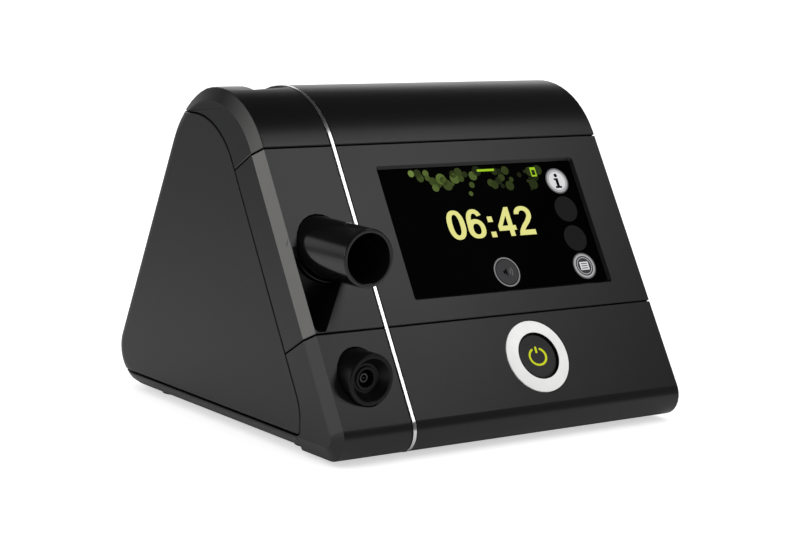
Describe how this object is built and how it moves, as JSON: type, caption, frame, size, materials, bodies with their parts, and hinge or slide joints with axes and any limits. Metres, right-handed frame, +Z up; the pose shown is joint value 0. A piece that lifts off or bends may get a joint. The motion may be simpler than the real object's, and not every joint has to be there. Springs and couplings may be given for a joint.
{
  "type": "bilevel positive airway pressure machine",
  "caption": "Rounded prism-shaped home breathing-therapy blower with a sloping touch display, round power button, front hose outlet and pull-off side cover.",
  "frame": {"origin": "bottom centre of the overall bounding box, on the plane the feet stand on", "axes": "+X to the viewer's right, the front with the display faces -Y, +Z up"},
  "size_m": [0.1704, 0.1746, 0.1352],
  "materials": {
    "housing_black": "satin",
    "side_grey": "satin",
    "gloss_black": "gloss",
    "dark_plastic": "satin",
    "bright_trim": "gloss",
    "white_plastic": "satin",
    "display_glass": "gloss",
    "soft_rubber": "matte",
    "circuit_green": "satin",
    "steel": "satin",
    "contact_brass": "satin",
    "duct_plastic": "satin",
    "grey_foam": "matte",
    "white_fleece": "matte",
    "winding_copper": "satin",
    "card_blue": "satin",
    "can_sleeve": "gloss"
  },
  "bodies": {
    "housing": {"crown_cover": "housing_black", "display_bezel": "housing_black", "lower_front_panel": "housing_black", "right_side_panel": "side_grey", "rear_housing": "housing_black", "side_bulkhead": "dark_plastic", "base_tray": "housing_black", "foot_1": "soft_rubber", "foot_2": "soft_rubber", "foot_3": "soft_rubber", "foot_4": "soft_rubber", "base_screw_1": "steel", "base_screw_2": "steel", "base_screw_3": "steel", "base_screw_4": "steel", "accent_strip": "bright_trim", "outlet_port": "gloss_black", "outlet_collar": "dark_plastic", "heater_socket": "gloss_black", "heater_barrel": "steel", "heater_pin": "contact_brass", "button_trim_ring": "white_plastic", "tact_switch": "steel", "button_board": "circuit_green", "display_glass": "display_glass", "lcd_module": "steel", "display_frame": "steel", "main_board": "circuit_green", "blower_volute": "duct_plastic", "blower_cover": "duct_plastic", "motor_stator": "winding_copper", "bearing_upper": "steel", "bearing_lower": "steel", "blower_mount_1": "soft_rubber", "blower_mount_2": "soft_rubber", "blower_mount_3": "soft_rubber", "pressure_duct": "soft_rubber", "docking_seal_front": "soft_rubber", "docking_seal_rear": "soft_rubber", "outlet_chamber": "duct_plastic", "flow_sensor": "dark_plastic", "intake_silencer": "dark_plastic", "silencer_foam": "grey_foam", "fine_filter": "white_fleece", "coarse_filter": "grey_foam", "power_inlet": "dark_plastic", "inlet_pin_1": "contact_brass", "inlet_pin_2": "contact_brass", "supply_board": "circuit_green", "transformer": "winding_copper", "capacitor": "can_sleeve", "card_reader": "steel"},
    "power_button": {"power_button": "dark_plastic", "switch_plunger": "white_plastic"},
    "side_cover": {"left_side_cover": "side_grey", "bypass_duct": "dark_plastic"},
    "filter_lid": {"filter_lid": "housing_black"},
    "memory_card": {"memory_card": "card_blue"},
    "release_key": {"cover_release_key": "dark_plastic"},
    "impeller": {"impeller": "white_plastic"}
  },
  "joints": [
    {"name": "power_button_press", "type": "slide", "parent": "housing", "child": "power_button", "axis": [0, 0.859, -0.512], "range_m": [0, 0.0012], "stiffness_N_per_m": 400, "springref_m": -0.001},
    {"name": "side_cover_pull", "type": "slide", "parent": "housing", "child": "side_cover", "axis": [-1, 0, 0], "range_m": [0, 0.04]},
    {"name": "filter_lid_pull", "type": "slide", "parent": "housing", "child": "filter_lid", "axis": [0, 0.9012, 0.4335], "range_m": [0, 0.03]},
    {"name": "memory_card_pull", "type": "slide", "parent": "housing", "child": "memory_card", "axis": [1, 0, 0], "range_m": [0, 0.032]},
    {"name": "release_key_press", "type": "slide", "parent": "housing", "child": "release_key", "axis": [0, -0.5, -0.866], "range_m": [0, 0.0024], "stiffness_N_per_m": 300, "springref_m": -0.001},
    {"name": "impeller_spin", "type": "hinge", "parent": "housing", "child": "impeller", "pos_m": [-0.0182, 0.01435, 0.03], "axis": [0, 0, 1], "continuous": true}
  ]
}
